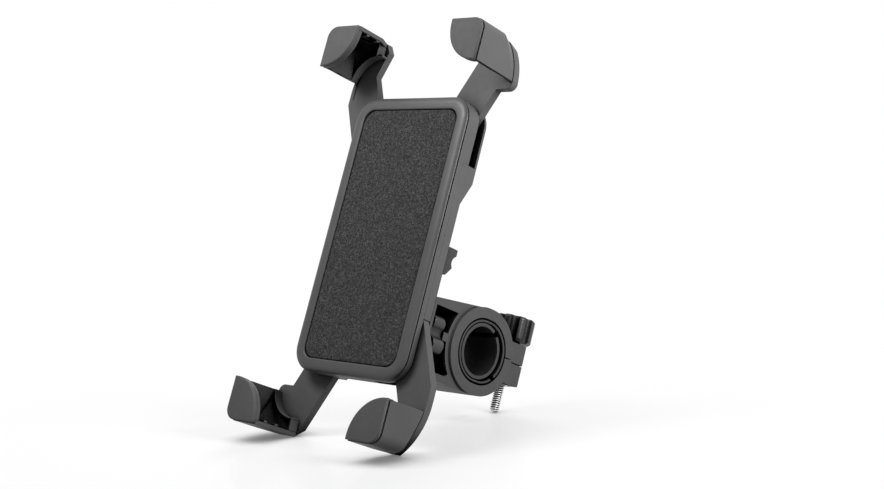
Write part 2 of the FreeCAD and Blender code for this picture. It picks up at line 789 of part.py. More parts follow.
def lock_nut():
    y0 = wall_back + 0.8
    body = lobed(0, y0, ball_z, "y", nut_r, nut_lobes, nut_lobe_r, nut_valley_r, nut_t, 42.0)
    body = body.common(barrel(0, y0, ball_z, V(0, 1, 0), nut_r + 0.05, nut_t, 0.5, 0.5))
    body = body.fuse(cyl_y(0, ball_z, 6.0, y0 - 0.6, y0 + 1))
    return body.cut(cyl_y(0, ball_z, stem_r + turn_gap, 0, 90))


# ---- handlebar clamp ----
def stretched(r, stretch, x0, x1):
    """Round bar along X about the bore, drawn out toward the ears by the stretch."""
    body = cyl_x(ring_back, ring_z, r, x0, x1)
    if stretch:
        body = body.fuse(cyl_x(ring_back + stretch, ring_z, r, x0, x1))
        body = body.fuse(box(x0, x1, ring_back, ring_back + stretch, ring_z - r, ring_z + r))
    return body


def wedge(a0, a1, r, x0, x1):
    """Sector about the bore from angle a0 to a1, degrees from +Y toward +Z."""
    pts = [V(x0, ring_back, ring_z)]
    for a in (a0, (a0 + a1) / 2, a1):
        pts.append(V(x0, ring_back + r * math.cos(math.radians(a)), ring_z + r * math.sin(math.radians(a))))
    pts.append(pts[0])
    return Part.Face(Part.makePolygon(pts)).extrude(V(x1 - x0, 0, 0))


def neck():
    half = neck_w / 2
    top = ring_z + ring_r
    bottom = ring_z - ring_r
    pts = [V(-half, neck_front, bottom), V(-half, ring_back, bottom), V(-half, ring_back, top)]
    pts += [V(-half, neck_front, top - 5.6), V(-half, neck_front, bottom)]
    return Part.Face(Part.makePolygon(pts)).extrude(V(neck_w, 0, 0))


def neck_window():
    z0 = ball_z - nut_r - 0.5
    z1 = ball_z + nut_r + 0.5
    span = box(-neck_w, neck_w, wall_back, ring_back - 16, z0, z1)
    long_edges = [e for e in span.Edges if abs(e.Vertexes[0].Point.x - e.Vertexes[-1].Point.x) > 1]
    rear = [e for e in long_edges if e.Vertexes[0].Point.y > wall_back + 1]
    span = span.makeFillet(2.6, rear)
    web = box(-neck_w, neck_w, wall_back + 0.8 + nut_t + 0.4, ring_back, ring_z - 1.9, ring_z + 1.9)
    return span.cut(cyl_x(ring_back, ring_z, ring_r + 2.3, -neck_w, neck_w)).cut(web)


def clamp_body():
    half = ring_w / 2
    body = neck().cut(neck_window())
    body = body.fuse(stretched(ring_r, bore_stretch, -half, half))
    ears = box(-ear_w / 2, ear_w / 2, ring_back + bore_r, screw_y + ear_end, ear_bottom_z, ear_top_z)
    ears = soften(ears, 0.8, lambda e: e.BoundBox.YMin > screw_y)
    body = body.fuse(ears)
    body = body.cut(stretched(bore_r, bore_stretch, -half - 1, half + 1))
    gap = ear_split / 2
    body = body.cut(box(-half - 1, half + 1, ring_back, screw_y + 20, split_z - gap, split_z + gap))
    body = body.cut(ball(ball_back, ball_z, seat_r))
    body = body.cut(hexagon(0, ball_back, ball_z, stem_flats + fit_gap, "y", seat_r + seat_wall))
    body = body.cut(cyl_z(0, screw_y, screw_r + 0.3, ear_bottom_z - 1, ear_top_z + 1))
    return body.cut(hexagon(0, screw_y, ear_bottom_z - 1, nut_flats + fit_gap, "z", 1 + nut_height - 0.3))


def captive_nut():
    body = hexagon(0, screw_y, ear_bottom_z - 0.3, nut_flats, "z", nut_height)
    return body.cut(cyl_z(0, screw_y, screw_r + turn_gap, ear_bottom_z - 2, ear_top_z))


def sleeve(r_in, r_out, stretch_in, stretch_out, gap_from, gap_to):
    half = ring_w / 2
    body = stretched(r_out, stretch_out, -half, half)
    body = body.cut(stretched(r_in, stretch_in, -half - 1, half + 1))
    return body.cut(wedge(gap_from, gap_to, 60, -half - 1, half + 1))


def rebated(body, r_out, stretch, width):
    """Step cut round the outside of both ends of a sleeve, so that its rim stands free."""
    half = ring_w / 2
    for x0, x1 in ((half - rebate_depth, half + 1), (-half - 1, rebate_depth - half)):
        step = stretched(r_out + 1, stretch, x0, x1).cut(stretched(r_out - width, stretch, x0 - 1, x1 + 1))
        body = body.cut(step)
    return body


def outer_sleeve():
    body = sleeve(outer_in, outer_out, bore_stretch - 0.2, bore_stretch, -44.0, -36.0)
    return rebated(body, outer_out, bore_stretch, sleeve_rebate)


def inner_sleeve():
    return rebated(sleeve(bar_r, inner_out, 0, 0, 46.0, 60.0), inner_out, 0, sleeve_rebate / 2)


def knob_washer():
    ring = cyl_z(0, screw_y, 4.5, ear_top_z, ear_top_z + 0.8)
    return ring.cut(cyl_z(0, screw_y, screw_r + 0.2, ear_top_z - 1, ear_top_z + 2))


def thumb_knob():
    z0 = ear_top_z + 0.8 + fit_gap
    body = lobed(0, screw_y, z0, "z", knob_r, knob_lobes, knob_lobe_r, knob_valley_r, knob_h, 17.5)
    body = body.common(barrel(0, screw_y, z0, V(0, 0, 1), knob_r + 0.05, knob_h, 1.5, 1.2))
    return body.cut(screw_blank(fit_gap))


def screw_blank(gap):
    z0 = ear_top_z + 0.8
    shank = cyl_z(0, screw_y, screw_r + gap, z0 - 1, z0 + knob_h - 3)
    head = hexagon(0, screw_y, z0 + knob_h - 5.4 - gap, 7.0 + 2 * gap, "z", 2.8 + 2 * gap)
    return shank.fuse(head)


def clamp_screw():
    """Screw held in the knob by its hexagon head; the lower end shows its thread as ridges."""
    pitch = thread_pitch
    root = screw_r - thread_depth
    z = screw_tip_z
    pts = [V(0, screw_y, z), V(root - 0.3, screw_y, z), V(root, screw_y, z + 0.3)]
    z = z + 0.3
    while z < ear_bottom_z + nut_height + 1:
        pts += [V(screw_r, screw_y, z + 0.35 * pitch), V(screw_r, screw_y, z + 0.5 * pitch)]
        pts += [V(root, screw_y, z + 0.85 * pitch), V(root, screw_y, z + pitch)]
        z += pitch
    pts += [V(root, screw_y, ear_top_z), V(0, screw_y, ear_top_z), pts[0]]
    thread = Part.Face(Part.makePolygon(pts)).revolve(V(0, screw_y, 0), V(0, 0, 1), 360)
    upper = cyl_z(0, screw_y, screw_r, ear_bottom_z + nut_height + 1, ear_top_z + 0.2)
    return thread.fuse(upper).fuse(screw_blank(0))


# ---- build ----
os.makedirs("parts", exist_ok=True)

save("phone_pad", phone_pad())
save("front_bezel", front_bezel())
save("front_shell", front_shell())
save("rear_housing", rear_housing())
save("housing_screws", housing_screws())

arms = {"a": arm("a"), "b": arm("b")}
claws = {"a": claw("a"), "b": claw("b")}
grip = claw_grip()
corners = {"top_left": ("a", -1, 1), "top_right": ("b", 1, 1)}
corners.update({"bottom_left": ("b", -1, -1), "bottom_right": ("a", 1, -1)})
for corner_name, (layer_name, side_x, side_z) in corners.items():
    save("arm_" + corner_name, to_corner(arms[layer_name], side_x, side_z))
    save("claw_" + corner_name, to_corner(claws[layer_name], side_x, side_z))
    save("claw_grip_" + corner_name, to_corner(grip, side_x, side_z))

save("drive_pinion", drive_pinion())
save("pinion_axle", pinion_axle())
save("return_spring", return_spring())
save("lock_slider", lock_slider())
save("ball_retainer", ball_retainer())
save("socket_liner", socket_liner())
save("friction_ring", friction_ring())
save("ball_stud", ball_stud())
save("lock_nut", lock_nut())
save("clamp_body", clamp_body())
save("outer_sleeve", outer_sleeve())
save("inner_sleeve", inner_sleeve())
save("clamp_screw", clamp_screw())
save("thumb_knob", thumb_knob())
save("knob_washer", knob_washer())
save("captive_nut", captive_nut())
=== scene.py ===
"""Handlebar phone mount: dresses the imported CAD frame.

Adds rounded edges, moulded details and materials, and the floor, light and camera of the view.
"""

import json
import math

import bmesh
import bpy
from mathutils import Matrix, Vector

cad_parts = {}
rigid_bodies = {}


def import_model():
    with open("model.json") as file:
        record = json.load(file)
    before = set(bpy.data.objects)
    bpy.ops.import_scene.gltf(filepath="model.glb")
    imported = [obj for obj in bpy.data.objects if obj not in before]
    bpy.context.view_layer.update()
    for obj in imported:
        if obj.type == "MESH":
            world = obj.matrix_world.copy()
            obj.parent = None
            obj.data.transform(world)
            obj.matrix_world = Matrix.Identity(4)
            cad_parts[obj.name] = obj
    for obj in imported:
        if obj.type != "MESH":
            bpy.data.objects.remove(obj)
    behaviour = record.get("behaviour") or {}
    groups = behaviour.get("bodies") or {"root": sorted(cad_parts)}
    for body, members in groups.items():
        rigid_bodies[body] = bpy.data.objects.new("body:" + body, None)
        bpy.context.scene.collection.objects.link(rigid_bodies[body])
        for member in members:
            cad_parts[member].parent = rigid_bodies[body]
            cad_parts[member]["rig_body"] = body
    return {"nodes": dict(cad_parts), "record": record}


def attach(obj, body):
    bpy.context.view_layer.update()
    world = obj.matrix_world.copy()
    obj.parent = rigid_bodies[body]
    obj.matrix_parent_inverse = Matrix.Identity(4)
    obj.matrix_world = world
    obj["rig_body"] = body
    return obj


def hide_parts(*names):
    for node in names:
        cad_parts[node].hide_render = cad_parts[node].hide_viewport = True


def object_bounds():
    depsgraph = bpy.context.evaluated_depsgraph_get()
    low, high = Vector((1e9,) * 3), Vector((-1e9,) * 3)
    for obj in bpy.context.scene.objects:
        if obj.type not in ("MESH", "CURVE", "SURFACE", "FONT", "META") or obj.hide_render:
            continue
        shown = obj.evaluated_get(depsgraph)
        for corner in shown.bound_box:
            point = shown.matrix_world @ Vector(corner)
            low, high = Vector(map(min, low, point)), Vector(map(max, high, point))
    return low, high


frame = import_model()
cad_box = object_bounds()
nodes = frame["nodes"]
corners = ("top_left", "top_right", "bottom_left", "bottom_right")

# ---- sizes repeated from the part's source, in millimetres and degrees ----
MM = 0.001
LEAN = math.radians(21.6)
BACK = 67.3
DOWN = -32.9
PLATE_W, PLATE_H, PLATE_R = 67.2, 125.0, 11.0
PAD_W, PAD_H, PAD_R = 55.6, 113.4, 6.4
PAD_FRONT, PAD_BACK = 0.3, 1.5
RIM_BACK, BEZEL_BACK = 1.5, 2.6
RECESS_GAP = 0.2
BEZEL_BODY_INSET = 2.2
CLAW_X, CLAW_Z, CLAW_REACH, CLAW_WALL, CLAW_CORNER = 46.6, 90.8, 18.2, 2.0, 5.2
CLAW_LEFT, CLAW_LOW = CLAW_X - CLAW_REACH, CLAW_Z - CLAW_REACH - 0.6
LIP_TIP, GRIP_T, GRIP_GROOVE, GRIP_DEEP, LIP_T = -17.4, 1.2, 0.8, 1.5, 1.6
LIP_FRONT = LIP_TIP + GRIP_T + GRIP_GROOVE
LIP_BACK = LIP_FRONT + LIP_T
LIP_SIDE_IN, LIP_END_IN, LIP_END_GAP = 0.9, 1.9, 0.3
CLAW_BEND = -0.7
END_R, END_DROP, END_CUT = 31.0, {"a": 23.4, "b": 20.4}, {"a": 2.8, "b": 0.0}
ARM_FRONT = {"a": 5.1, "b": 8.8}
SEAT_IN, SEAT_DOWN, SEAT_R, SEAT_T, SEAT_H = 15.6, 20.8, 13.2, 0.9, 4.0
PLUG_AT, PLUG_R, PLUG_HEAD_R = (CLAW_X - 8.5, CLAW_Z - 8.9), 4.5, 5.6
LAYER_OF = {"top_left": "a", "bottom_right": "a", "top_right": "b", "bottom_left": "b"}
SIDES = {"top_left": (-1, 1), "top_right": (1, 1), "bottom_left": (-1, -1), "bottom_right": (1, -1)}
SCREW_Y, SCREW_TIP, SCREW_R = 99.1, -54.3, 2.3
EAR_TOP, KNOB_H = -22.0, 11.8

# ---- details of the scene's own, in millimetres ----
SEAM = {"a": 0.2, "b": 0.4}
RIB_FIRST, RIB_PITCH, RIB_IN, CROWN_IN, RIB_T, RIB_SLOPE = 3.0, 6.6, 3.4, 2.6, 1.8, 0.4
THREAD_DEPTH, THREAD_PITCH, THREADED = 0.6, 1.0, 24.0
CLAW_EDGE = 0.2
ARM_EDGE = 0.22
MOULDED_EDGE = {
    "front_shell": 0.22,
    "rear_housing": 0.28,
    "lock_slider": 0.06,  # any rounder, its teeth would meet the arm's in the locked position
    "lock_nut": 0.3,
    "thumb_knob": 0.3,
    "clamp_body": 0.14,
    "outer_sleeve": 0.3,
    "inner_sleeve": 0.15,
}
LIP_INTO_GRIP = 0.1
END_WALL_AHEAD = 0.6
RIB_INTO_WALL = 0.8
NECK_INSET = 0.05
PLUG_NECK, HEAD_SIDE, HEAD_T, HEAD_CHAMFER = 0.1, 0.6, 1.0, 0.4
SMALLEST_R = 0.4
SHARP = math.radians(28.0)
CORNER_STEPS, LIP_CORNER_STEPS, LIP_STEPS, SEAT_STEPS, PLUG_STEPS = 14, 10, 22, 20, 40

turn_to_world = Matrix.Rotation(-LEAN, 4, "X") @ Matrix.Translation(Vector((0, -BACK, -DOWN)))


def world(x, y, z):
    """Takes a point of the holder's own frame, in millimetres, to the row frame, in metres."""
    return (turn_to_world @ Vector((x, y, z))) * MM


# ---- materials: noise scales are per metre, reaches of the painted shade and depths in metres ----
def tree_of(name):
    material = bpy.data.materials.new(name)
    material.use_nodes = True
    material.node_tree.nodes.clear()
    return material, material.node_tree


def noise(tree, coords, scale, detail=3.0, roughness=0.55):
    node = tree.nodes.new("ShaderNodeTexNoise")
    node.inputs["Scale"].default_value = scale
    node.inputs["Detail"].default_value = detail
    node.inputs["Roughness"].default_value = roughness
    tree.links.new(coords, node.inputs["Vector"])
    return node.outputs["Fac"]


def spread(tree, fac, low, high, out_low, out_high):
    node = tree.nodes.new("ShaderNodeMapRange")
    node.inputs["From Min"].default_value = low
    node.inputs["From Max"].default_value = high
    node.inputs["To Min"].default_value = out_low
    node.inputs["To Max"].default_value = out_high
    tree.links.new(fac, node.inputs["Value"])
    return node.outputs["Result"]


def blended(tree, first, second, share):
    """The first noise by its share, and the second by the rest."""
    node = tree.nodes.new("ShaderNodeMath")
    node.operation = "MULTIPLY_ADD"
    node.inputs[1].default_value = share
    tree.links.new(first, node.inputs[0])
    tree.links.new(spread(tree, second, 0.0, 1.0, 0.0, 1.0 - share), node.inputs[2])
    return node.outputs["Value"]


def ramp(tree, fac, stops):
    """Greys between (position, grey) stops."""
    node = tree.nodes.new("ShaderNodeValToRGB")
    elements = node.color_ramp.elements
    while len(elements) < len(stops):
        elements.new(0.5)
    for element, (at, grey) in zip(elements, stops):
        element.position = at
        element.color = (grey, grey, grey, 1.0)
    tree.links.new(fac, node.inputs["Fac"])
    return node.outputs["Color"]


def bump(tree, height, strength, distance, normal=None):
    node = tree.nodes.new("ShaderNodeBump")
    node.inputs["Strength"].default_value = strength
    node.inputs["Distance"].default_value = distance
    tree.links.new(height, node.inputs["Height"])
    if normal is not None:
        tree.links.new(normal, node.inputs["Normal"])
    return node.outputs["Normal"]


def coordinates(tree):
    return tree.nodes.new("ShaderNodeTexCoord").outputs["Object"]


def surface(tree, colour, rough, normal, metallic=0.0, specular=0.5, gloss=None):
    """Principled shader. The gloss is an output that varies the specular level, where given."""
    shader = tree.nodes.new("ShaderNodeBsdfPrincipled")
    shader.inputs["Metallic"].default_value = metallic
    shader.inputs["Specular IOR Level"].default_value = specular
    if gloss is not None:
        tree.links.new(gloss, shader.inputs["Specular IOR Level"])
    tree.links.new(colour, shader.inputs["Base Color"])
    tree.links.new(rough, shader.inputs["Roughness"])
    tree.links.new(normal, shader.inputs["Normal"])
    out = tree.nodes.new("ShaderNodeOutputMaterial")
    tree.links.new(shader.outputs["BSDF"], out.inputs["Surface"])


def painted_shade(tree, reach, closed, full, floor, own=False):
    """Painted shade from ambient occlusion: one on open faces, falling to the floor value in gaps
    and hollows, where shade falls.

    With own, only those of the piece itself count.
    """
    hidden = tree.nodes.new("ShaderNodeAmbientOcclusion")
    hidden.samples = 8
    hidden.only_local = own
    hidden.inputs["Distance"].default_value = reach
    return spread(tree, hidden.outputs["AO"], closed, full, floor, 1.0)


def times(tree, colour, level):
    mix = tree.nodes.new("ShaderNodeMix")
    mix.data_type = "RGBA"
    mix.blend_type = "MULTIPLY"
    mix.inputs["Factor"].default_value = 1.0
    tree.links.new(colour, mix.inputs["A"])
    tree.links.new(level, mix.inputs["B"])
    return mix.outputs["Result"]


def plastic(name, dark, light, rough, grain, grain_depth, specular=0.14,
            reach=0.014, closed=0.3, full=0.86, own=False):
    """Moulded plastic: slow colour drift, faint smears in the gloss, a spark-eroded grain, and
    painted shade that darkens the colour and the specular level in gaps and hollows.
    """
    material, tree = tree_of(name)
    at = coordinates(tree)
    drift = noise(tree, at, scale=60.0, detail=2.0)
    speck = noise(tree, at, scale=grain * 0.6, detail=2.0)
    colour = ramp(tree, blended(tree, speck, drift, share=0.35), ((0.3, dark), (0.7, light)))
    # painted shade: the colour falls to the floor value in gaps and hollows, where shade falls
    level = painted_shade(tree, reach, closed, full, floor=0.03, own=own)
    smear = noise(tree, at, scale=170.0, detail=4.0)
    roughness = spread(tree, smear, low=0.3, high=0.7, out_low=rough - 0.05, out_high=rough + 0.06)
    normal = bump(tree, noise(tree, at, grain), strength=0.35, distance=grain_depth)
    # the painted shade dims the specular level in gaps and hollows too
    gloss = spread(tree, level, 0.0, 1.0, 0.0, specular)
    surface(tree, times(tree, colour, level), roughness, normal, specular=specular, gloss=gloss)
    return material


def pad_rubber(name):
    """Closed-cell rubber: a dense leathery grain with pale and dark specks under a millimetre, and
    painted shade in gaps and hollows.
    """
    material, tree = tree_of(name)
    at = coordinates(tree)
    fine = noise(tree, at, scale=2000.0, detail=2.0, roughness=0.7)
    coarse = noise(tree, at, scale=900.0, detail=2.0)
    cells = tree.nodes.new("ShaderNodeTexVoronoi")
    cells.feature = "SMOOTH_F1"
    cells.inputs["Scale"].default_value = 1700.0
    tree.links.new(at, cells.inputs["Vector"])
    specks = blended(tree, coarse, fine, share=0.3)
    colour = ramp(tree, specks, ((0.36, 0.005), (0.5, 0.023), (0.64, 0.09)))
    # painted shade: the colour darkens in gaps and hollows
    colour = times(tree, colour, painted_shade(tree, reach=0.006, closed=0.3, full=0.8, floor=0.1))
    roughness = spread(tree, fine, low=0.3, high=0.7, out_low=0.72, out_high=0.88)
    normal = bump(tree, fine, strength=0.7, distance=0.00018)
    normal = bump(tree, cells.outputs["Distance"], strength=0.5, distance=0.0002, normal=normal)
    surface(tree, colour, roughness, normal, specular=0.15)
    return material


def steel(name, grey, rough, brush):
    """Metal with stained greys, fine streaks and painted shade in narrow grooves: the smaller the
    brush, the longer the streaks.
    """
    material, tree = tree_of(name)
    at = coordinates(tree)
    stretch = tree.nodes.new("ShaderNodeMapping")
    stretch.inputs["Scale"].default_value = (1.0, 1.0, brush)
    tree.links.new(at, stretch.inputs["Vector"])
    streak = noise(tree, stretch.outputs["Vector"], scale=900.0, detail=4.0)
    stain = noise(tree, at, scale=240.0)
    colour = ramp(tree, stain, ((0.3, grey * 0.86), (0.7, grey)))
    # painted shade: the colour darkens in narrow grooves, such as the screw's thread
    colour = times(tree, colour, painted_shade(tree, reach=0.0009, closed=0.7, full=0.9, floor=0.03))
    roughness = spread(tree, streak, low=0.25, high=0.75,
                       out_low=rough - 0.08, out_high=rough + 0.1)
    normal = bump(tree, streak, strength=0.25, distance=0.00004)
    surface(tree, colour, roughness, normal, metallic=1.0)
    return material


# Plastics: name, dark and light grey, roughness, scale and depth of the grain.
# Steels: name, grey, roughness, brush.
# Where given, reach, closed, full and own set the painted shade in gaps and hollows; the claws,
# clamp, sleeves and knob get more of it.
finish = {
    "phone_pad": pad_rubber("pad rubber"),
    "bezel": plastic("bezel plastic", 0.050, 0.060, 0.38, 2600.0, 0.00003, specular=0.24),
    "shell": plastic("shell plastic", 0.066, 0.080, 0.50, 2200.0, 0.00005),
    "arm": plastic("arm plastic", 0.062, 0.076, 0.46, 2400.0, 0.00004),
    "claw": plastic("claw plastic", 0.060, 0.074, 0.46, 2400.0, 0.00004,
                    reach=0.024, closed=0.45, full=0.9, own=True),
    "grip": plastic("lip rubber", 0.056, 0.074, 0.60, 1900.0, 0.00005),
    "gear": plastic("acetal", 0.50, 0.56, 0.42, 2400.0, 0.00002),
    "clamp": plastic("clamp plastic", 0.054, 0.068, 0.50, 2000.0, 0.00006,
                     closed=0.4, full=0.9),
    "sleeve": plastic("sleeve rubber", 0.040, 0.052, 0.58, 1700.0, 0.00006, reach=0.035),
    "knob": plastic("knob plastic", 0.026, 0.034, 0.28, 2400.0, 0.00003,
                    specular=0.4, closed=0.55, full=0.97),
    "liner": plastic("nylon", 0.22, 0.27, 0.40, 2400.0, 0.00002),
    "steel": steel("zinc-plated steel", 0.80, 0.50, 0.15),
    "ball_steel": steel("turned steel", 0.50, 0.26, 0.3),
}
slot_of = {part["node"]: part["material_slot"] for part in frame["record"]["subparts"]}
for name, node in nodes.items():
    for place in node.material_slots:
        place.material = finish[slot_of[name]]


# ---- pieces ----
def placed(name, mesh):
    piece = bpy.data.objects.new(name, mesh)
    bpy.context.scene.collection.objects.link(piece)
    return piece


def mesh_from(name, bm):
    mesh = bpy.data.meshes.new(name)
    bm.to_mesh(mesh)
    bm.free()
    return mesh


def new_piece(name, bm, node):
    """Makes a piece that rides with the CAD node that it stands for and takes its finish."""
    mesh = mesh_from(name, bm)
    mesh.shade_smooth()
    mesh.materials.append(finish[slot_of[node]])
    piece = placed(name, mesh)
    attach(piece, nodes[node]["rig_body"])
    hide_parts(node)
    return piece


def rounded(piece, width, limit="ANGLE"):
    """Rounds every sharp edge, or the marked ones alone, and keeps the flat faces flat."""
    mod = piece.modifiers.new("rounded edges", "BEVEL")
    mod.width = width * MM
    mod.segments = 2
    mod.limit_method = limit
    mod.angle_limit = SHARP
    mod.use_clamp_overlap = False
    even = piece.modifiers.new("flat faces", "WEIGHTED_NORMAL")
    even.mode = "FACE_AREA"
    even.weight = 80
    even.keep_sharp = False
    return piece


def simplified(bm, merge, flat):
    """Merges points nearer than the first value, in metres, and faces flatter than the second."""
    bmesh.ops.remove_doubles(bm, verts=bm.verts, dist=merge)
    bmesh.ops.dissolve_limit(bm, angle_limit=math.radians(flat), verts=bm.verts, edges=bm.edges)


def moulded(node, width):
    """A copy of a CAD node with merged facets.

    Only its outward edges are rounded, so that it only loses material.
    """
    bm = bmesh.new()
    bm.from_mesh(nodes[node].data)
    simplified(bm, merge=2e-6, flat=0.2)
    marked = bm.edges.layers.float.new("bevel_weight_edge")
    for edge in bm.edges:
        if len(edge.link_faces) == 2 and edge.is_convex and edge.calc_face_angle() > SHARP:
            edge[marked] = 1.0
    return rounded(new_piece(node + "_moulded", bm, node), width, "WEIGHT")


def on_circle(cx, cz, r, degrees):
    a = math.radians(degrees)
    return (cx + r * math.cos(a), cz + r * math.sin(a))


def arc_points(cx, cz, r, a0, a1, steps):
    return [on_circle(cx, cz, r, a0 + (a1 - a0) * i / steps) for i in range(steps + 1)]


def ring_points(inset, y, w, h, r):
    """Rounded rectangle at a depth in the holder's frame, drawn in by the inset."""
    half_w, half_h = w / 2 - inset, h / 2 - inset
    radius = max(r - inset, SMALLEST_R)
    points = []
    for sx, sz, start in ((1, 1, 0), (-1, 1, 90), (-1, -1, 180), (1, -1, 270)):
        cx, cz = sx * (half_w - radius), sz * (half_h - radius)
        arc = arc_points(cx, cz, radius, start, start + 90, CORNER_STEPS)
        points += [world(x, y, z) for x, z in arc]
    return points


def swept(rings, closed):
    """A bmesh skinned over rings of equal length.

    It is a closed tube of rings, or a solid capped at both ends.
    """
    bm = bmesh.new()
    loops = [[bm.verts.new(p) for p in ring] for ring in rings]
    after = loops[1:] + loops[:1] if closed else loops[1:]
    for a, b in zip(loops, after):
        for i in range(len(a)):
            j = (i + 1) % len(a)
            bm.faces.new((a[i], a[j], b[j], b[i]))
    if not closed:
        bm.faces.new(loops[0])
        bm.faces.new(loops[-1])
    bmesh.ops.recalc_face_normals(bm, faces=bm.faces)
    return bm


def phone_pad():
    """Rubber sheet with softly rounded edges, a little crowned, lying in the bezel's recess."""
    # Each pair is the inset from the outline and the depth behind the pad's front.
    edge = [(5.0, 0.02), (1.6, 0.03), (0.7, 0.06), (0.3, 0.16), (0.08, 0.32), (0.02, 0.55)]
    profile = [(inset, PAD_FRONT + depth) for inset, depth in edge] + [(edge[-1][0], PAD_BACK)]
    rings = [ring_points(inset, y, PAD_W, PAD_H, PAD_R) for inset, y in profile]
    return new_piece("phone_pad_sheet", swept(rings, False), "phone_pad")


def front_bezel():
    """Bezel with one soft roll from the recess to its outer edge and a step behind the rim."""
    # Each pair is the inset from the plate's outline and the depth.
    inner = (PLATE_W - PAD_W) / 2 - RECESS_GAP
    under_pad = inner + 6.0
    chamfer = 0.2
    recess = [(inner, PAD_BACK), (inner, 0.42)]
    recess += [(inner - 0.1, 0.18), (inner - 0.3, 0.05), (inner - 0.6, 0.01)]
    front = [(2.7, 0.0), (2.1, 0.05), (1.5, 0.17), (0.95, 0.36), (0.5, 0.6), (0.18, 0.9)]
    front += [(0.02, 1.18), (0.02, 1.36), (0.1, 1.46), (0.3, RIM_BACK)]
    back = [(BEZEL_BODY_INSET, RIM_BACK), (BEZEL_BODY_INSET, BEZEL_BACK - chamfer)]
    back += [(BEZEL_BODY_INSET + chamfer, BEZEL_BACK)]
    back += [(under_pad, BEZEL_BACK), (under_pad, PAD_BACK)]
    profile = recess + front + back
    rings = [ring_points(inset, y, PLATE_W, PLATE_H, PLATE_R) for inset, y in profile]
    return new_piece("front_bezel_rim", swept(rings, True), "front_bezel")


def front_outline(inset):
    """Outside of a claw's front half, from the open side round the corner to the open end."""
    cx, cz, r = CLAW_X - CLAW_CORNER, CLAW_Z - CLAW_CORNER, CLAW_CORNER - inset
    curve = arc_points(cx, cz, r, 0, 90, CORNER_STEPS)
    return [(cx + r, CLAW_LOW)] + curve + [(CLAW_LEFT, CLAW_Z - inset)]


def rear_outline(layer, inset):
    """The same outline where the claw meets its arm, on the arm's own end curve."""
    drop, r = END_DROP[layer], END_R - inset
    cx, cz = CLAW_X - END_R, CLAW_Z - drop
    a0 = math.degrees(math.asin((CLAW_LOW + 0.5 - cz) / r))
    a1 = math.degrees(math.asin((drop - inset) / r))
    curve = arc_points(cx, cz, r, a0, a1, CORNER_STEPS)
    return [(curve[0][0], CLAW_LOW)] + curve + [(CLAW_LEFT + END_CUT[layer], CLAW_Z - inset)]


def lip_outline(inset, groove=0.0):
    """Lip of a claw: straight outside, a rounded corner and one round edge on the phone's side.

    The groove draws only the side in, beside the claw's side wall.
    """
    r = CLAW_REACH - LIP_SIDE_IN - inset
    cx, cz = CLAW_X - LIP_SIDE_IN, CLAW_Z - LIP_END_IN
    outside, end, c = CLAW_X - inset, CLAW_Z - LIP_END_GAP - inset, CLAW_CORNER - inset
    points = [(outside - groove, cz - r)]
    for x, z in arc_points(outside - c, end - c, c, 0, 90, LIP_CORNER_STEPS):
        points.append((x - groove * (x - outside + c) / c, z))
    points.append((cx - r, end))
    return points + arc_points(cx, cz, r, 180, 270, LIP_STEPS)[:-1]


def prism(side, levels):
    """Solid skinned over outlines, each with its depth.

    They are drawn for the upper right corner and carried to the side's own.
    """
    sx, sz = side
    return swept([[world(sx * x, y, sz * z) for x, z in outline] for outline, y in levels], False)


def block(x0, x1, z0, z1):
    return [(x0, z0), (x1, z0), (x1, z1), (x0, z1)]


def joined(solids):
    """One closed bmesh from solids that overlap."""
    base, *others = [placed("scratch", mesh_from("scratch", bm)) for bm in solids]
    for other in others:
        mod = base.modifiers.new("join", "BOOLEAN")
        mod.operation = "UNION"
        mod.solver = "EXACT"
        mod.object = other
    bpy.context.view_layer.update()
    evaluated = base.evaluated_get(bpy.context.evaluated_depsgraph_get())
    mesh = bpy.data.meshes.new_from_object(evaluated)
    bm = bmesh.new()
    bm.from_mesh(mesh)
    bpy.data.meshes.remove(mesh)
    for made in (base, *others):
        bpy.data.objects.remove(made)
    simplified(bm, merge=2e-5, flat=0.1)
    return bm


def claw_walls(layer):
    """Side and end walls of a claw, which bend from its front to the arm's end."""
    arm_front, seam = ARM_FRONT[layer], SEAM[layer]
    front_wall = front_outline(0) + front_outline(CLAW_WALL)[::-1]
    outer_end = rear_outline(layer, 0)
    inner_end = rear_outline(layer, CLAW_WALL)[::-1]
    sunk_end = [(x - seam, z) for x, z in outer_end[:-1]] + outer_end[-1:]
    return [
        (front_wall, LIP_FRONT),
        (front_wall, CLAW_BEND),
        (outer_end + inner_end, arm_front - 2 * seam),
        (sunk_end + inner_end, arm_front - 1.6 * seam),
        (sunk_end + inner_end, arm_front),
    ]


